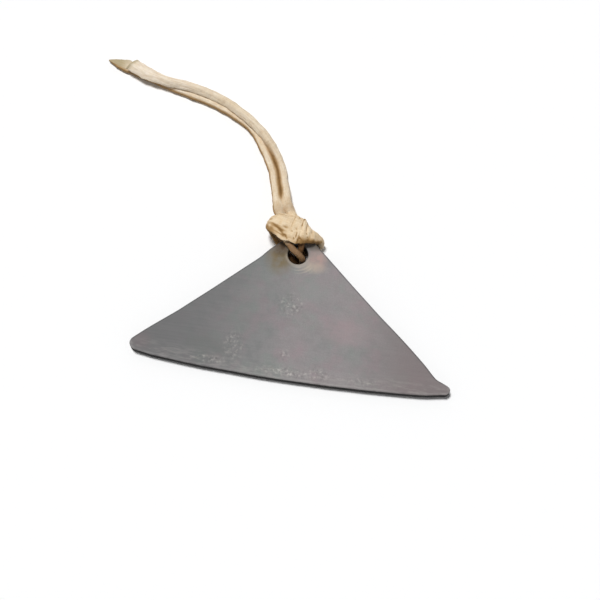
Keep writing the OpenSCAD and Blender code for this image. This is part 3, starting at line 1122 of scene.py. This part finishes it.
to_centre = {0: flat_place, 1: edge_centre.to_3d()}
from_edge_centre = add(tree, "VectorMath", to_centre, operation="DISTANCE").outputs["Value"]
worn_space = moved(tree, on_steel, scale=(0.3, 1.6, 1), rotation=(0, 0, -0.04))
wear_marks = mottled(tree, worn_space, scale=1, low=0.42, high=0.66)
wear = times(tree, spread(tree, from_edge_centre, *WEAR_BAND), wear_marks)
skin = mix(tree, times(tree, wear, 0.25), skin, colour(0.372, 0.352, 0.33))

near_wall = add(tree, "Attribute", attribute_name="rim").outputs["Fac"]
at_edge = spread(tree, from_edge_centre, *EDGE_BAND)
at_flank = spread(tree, from_edge_centre, *reversed(EDGE_BAND))
broken = times(tree, spread(tree, near_wall, 0.15, 0.5), spread(tree, near_wall, 1, 0.8))
rubbed = times(tree, times(tree, broken, mottled(tree, on_steel, scale=0.5, low=0.2, high=0.6)), at_edge)
skin = mix(tree, times(tree, rubbed, 0.3), skin, colour(0.433, 0.418, 0.412))
# Painted shade on the flanks' broken edges.
flank_edge_shade = times(tree, spread(tree, near_wall, 0.1, 0.4), at_flank)
flank_edge_shade = times(tree, flank_edge_shade, spread(tree, from_hole, *HOLE_BAND))
skin = mix(tree, times(tree, flank_edge_shade, 0.45), skin, colour(0.09, 0.088, 0.088))
# Scale on the walls, near-black so that it is also the walls' painted shade.
wall_scale_and_shade = spread(tree, near_wall, SCALE_STARTS, 1.0)
skin = mix(tree, wall_scale_and_shade, skin, colour(0.012, 0.011, 0.011))
print("steel finish of", len(tree.nodes), "nodes")

# %% [markdown]
# The skin is dull, so the shader is rough, and nicked places are a little smoother. It is mostly metal
# with a thin layer of oxide, so it isn't fully metallic, and the scale on the walls is no metal at all.
# Streaks and grain stand out and pits lie deep by a few hundredths of a millimetre, which a bump shows
# without more points.

# %% Steel: shader
STEEL_RELIEF = 0.06 * MM

smoothed = spread(tree, nicks, 0, 1, 0.76, 0.62)
roughness = combined(tree, "ADD", smoothed, times(tree, wall_scale_and_shade, 0.14))
metal = spread(tree, wall_scale_and_shade, 0, 1, 0.6, 0)
standing = combined(tree, "ADD", times(tree, streaks, 0.12), times(tree, grain, 0.3))
relief = combined(tree, "SUBTRACT", standing, times(tree, pits, 0.8))
bump = add(tree, "Bump", {"Strength": 0.5, "Distance": STEEL_RELIEF, "Height": relief})
tree.links.new(skin, steel_shader.inputs["Base Color"])
tree.links.new(roughness, steel_shader.inputs["Roughness"])
tree.links.new(metal, steel_shader.inputs["Metallic"])
tree.links.new(bump.outputs[0], steel_shader.inputs["Normal"])
steel_shader.inputs["Specular IOR Level"].default_value = 0.2
steel.data.materials.append(steel_finish)
print("steel finish done")

# %% [markdown]
# The thong is undyed, soft-tanned leather: cream on the legs and palest towards their tips, tan where the
# hitch has been handled. Fine fibres run along the lace and small wrinkles run across it, with a painted
# highlight on the wrinkles. The cut ends are olive. Grease is dark brown, and so is the painted shade
# below the plate, in the hole and on the strand that comes up out of it. The painted shade of the creases,
# the groove, the hole and the lower edges goes from rust to nearly black, and so does the frayed edge. The
# pattern is read from the straightened lace, which every vertex carries.

# %% Leather: hide
HANDLED_FADE = (56, 34)
TIP_FADE = (85, 108)

leather_finish, tree, leather_shader = new_finish("soft_leather")
laid = add(tree, "Attribute", attribute_name="straight").outputs["Vector"]
# Painted shade of creases, groove, hole and lower edges, with the frayed brown.
shade_and_fray_mask = add(tree, "Attribute", attribute_name="shade_and_fray").outputs["Fac"]
grease_and_shade_mask = add(tree, "Attribute", attribute_name="grease_and_shade").outputs["Fac"]
at_end = add(tree, "Attribute", attribute_name="end").outputs["Fac"]
along = add(tree, "SeparateXYZ", {0: laid}).outputs["Z"]
middle = (left_length + hitch_length / 2) / MM
from_middle = combined(tree, "ABSOLUTE", combined(tree, "SUBTRACT", along, middle))

patches = mottled(tree, laid, scale=0.28, low=0.36, high=0.66)
fibres = mottled(tree, moved(tree, laid, scale=(1.7, 1.7, 0.22)), scale=1.6, low=0.3, high=0.72)
wrinkles = mottled(tree, moved(tree, laid, scale=(0.5, 0.5, 1.5)), scale=1.0, low=0.35, high=0.7)
legs_hide = mix(tree, patches, colour(0.80, 0.66, 0.49), colour(0.88, 0.77, 0.62))
hitch_hide = mix(tree, patches, colour(0.83, 0.63, 0.40), colour(0.90, 0.72, 0.50))
hide = mix(tree, spread(tree, from_middle, *HANDLED_FADE), legs_hide, hitch_hide)
hide = mix(tree, spread(tree, from_middle, *TIP_FADE, 0, 0.75), hide, colour(0.96, 0.86, 0.74))
hide = mix(tree, times(tree, fibres, 0.55), hide, colour(0.62, 0.43, 0.23))
# The wrinkles' raised backs are painted lighter: a painted highlight.
hide = mix(tree, times(tree, wrinkles, 0.4), hide, colour(0.92, 0.80, 0.60))
hide = mix(tree, times(tree, at_end, 0.75), hide, colour(0.36, 0.285, 0.13))
# Grease and painted shade share one dark brown.
hide = mix(tree, times(tree, grease_and_shade_mask, 0.96), hide, colour(0.17, 0.07, 0.018))
# Painted shade, first rust and then nearly black.
hide = mix(tree, spread(tree, shade_and_fray_mask, 0, 0.7), hide, colour(0.41, 0.235, 0.085))
hide = mix(tree, spread(tree, shade_and_fray_mask, 0.4, 1), hide, colour(0.06, 0.027, 0.008))
print("hide of", len(tree.nodes), "nodes")

# %% [markdown]
# Soft leather has almost no shine, so the shader is rough, and most of all along the fibres. The fibres
# are sunk and the wrinkles stand up, again as a bump. All three stretches share the one finish.

# %% Leather: shader
LEATHER_RELIEF = 0.18 * MM

relief = combined(tree, "ADD", times(tree, fibres, -0.6), times(tree, wrinkles, 0.8))
bump = add(tree, "Bump", {"Strength": 0.7, "Distance": LEATHER_RELIEF, "Height": relief})
tree.links.new(hide, leather_shader.inputs["Base Color"])
tree.links.new(spread(tree, fibres, 0, 1, 0.72, 0.9), leather_shader.inputs["Roughness"])
tree.links.new(bump.outputs[0], leather_shader.inputs["Normal"])
leather_shader.inputs["Specular IOR Level"].default_value = 0.15
for piece in thong_pieces.values():
    piece.data.materials.append(leather_finish)
print("leather finish on", len(thong_pieces), "pieces")

# %% [markdown]
# The stage is a plain pale floor. One large square is enough, because only shadows fall on it.
# It is there for the picture alone, so it isn't part of the object.

# %% Floor
FLOOR_HALF = 3

scene = bpy.context.scene
scene.view_settings.view_transform = "Standard"

floor_bm = bmesh.new()
bmesh.ops.create_grid(floor_bm, x_segments=1, y_segments=1, size=FLOOR_HALF)
floor_mesh = bpy.data.meshes.new("floor")
floor_bm.to_mesh(floor_mesh)
floor_bm.free()
floor = bpy.data.objects.new("floor", floor_mesh)
scene.collection.objects.link(floor)
floor_finish, tree, floor_shader = new_finish("pale_floor")
floor_shader.inputs["Base Color"].default_value = colour(0.98, 0.98, 0.98)
floor_shader.inputs["Roughness"].default_value = 0.9
floor.data.materials.append(floor_finish)
print("floor of", 2 * FLOOR_HALF, "m")

# %% [markdown]
# The main light is large and far away. It stands nearly overhead, slightly behind the steel and to its
# left, as in the picture, where the lower sides of the lace and the striking edge are in shade. The sky
# gives even light. Where the camera or a reflection looks at it directly, it is white.

# %% Light and sky
LIGHT_POWER = 2.72
LIGHT_SOFTNESS = 0.2
LIGHT_WAY = Vector((0.17, -0.1, -0.98))
SKY_LIGHT = 0.17

main_light = bpy.data.objects.new("main_light", bpy.data.lights.new("main_light", "SUN"))
main_light.data.energy = LIGHT_POWER
main_light.data.angle = LIGHT_SOFTNESS
main_light.rotation_euler = LIGHT_WAY.to_track_quat("-Z", "Y").to_euler()
scene.collection.objects.link(main_light)

sky = bpy.data.worlds.new("sky")
scene.world = sky
sky.use_nodes = True
tree = sky.node_tree
tree.nodes.clear()
rays = add(tree, "LightPath").outputs
seen = combined(tree, "MAXIMUM", rays["Is Camera Ray"], rays["Is Glossy Ray"])
seen = combined(tree, "MAXIMUM", seen, rays["Is Transmission Ray"])
even_light = add(tree, "Background", {"Color": colour(0.97, 0.98, 1), "Strength": SKY_LIGHT}).outputs[0]
white = add(tree, "Background", {"Color": colour(1, 1, 1), "Strength": 1.0}).outputs[0]
lit = add(tree, "MixShader", {0: seen, 1: even_light, 2: white}).outputs[0]
add(tree, "OutputWorld", {"Surface": lit})
print("light from", tuple(round(-c, 2) for c in LIGHT_WAY))
